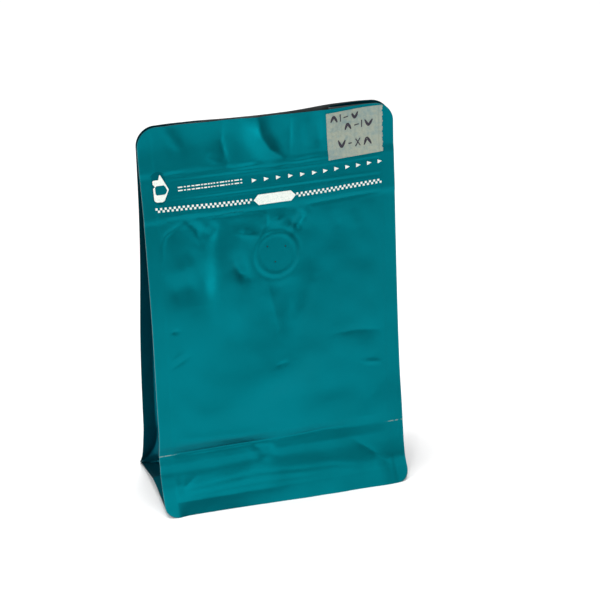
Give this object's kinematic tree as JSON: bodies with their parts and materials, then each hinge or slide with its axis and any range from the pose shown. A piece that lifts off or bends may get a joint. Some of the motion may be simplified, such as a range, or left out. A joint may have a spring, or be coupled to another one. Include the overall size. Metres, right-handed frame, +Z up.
{
  "type": "stand-up zipper bag with valve",
  "caption": "Empty flat-bottom foil pouch standing on its base, with folded side gussets, a pocket zipper behind a tear-off tab, a one-way gas valve and an unsealed mouth",
  "frame": {"origin": "on the floor under the middle of the bounding box", "axes": "+Z up along the bag's height, the front panel faces -Y, +X to the viewer's right as seen from the front"},
  "size_m": [0.1301, 0.0619, 0.1952],
  "materials": {
    "pouch_film": "teal laminated foil film, satin",
    "zipper_plastic": "milky polyethylene",
    "tab_film": "off-white printed film",
    "valve_plastic": "pale moulded plastic",
    "crepe_tape": "grey-beige crepe masking tape"
  },
  "bodies": {
    "root": {"front_panel": "pouch_film", "back_panel": "pouch_film", "gusset_left": "pouch_film", "gusset_right": "pouch_film", "base_film": "pouch_film", "zipper_strip": "zipper_plastic", "pull_tab": "tab_film", "valve_body": "valve_plastic", "tape_label": "crepe_tape"}
  },
  "joints": []
}
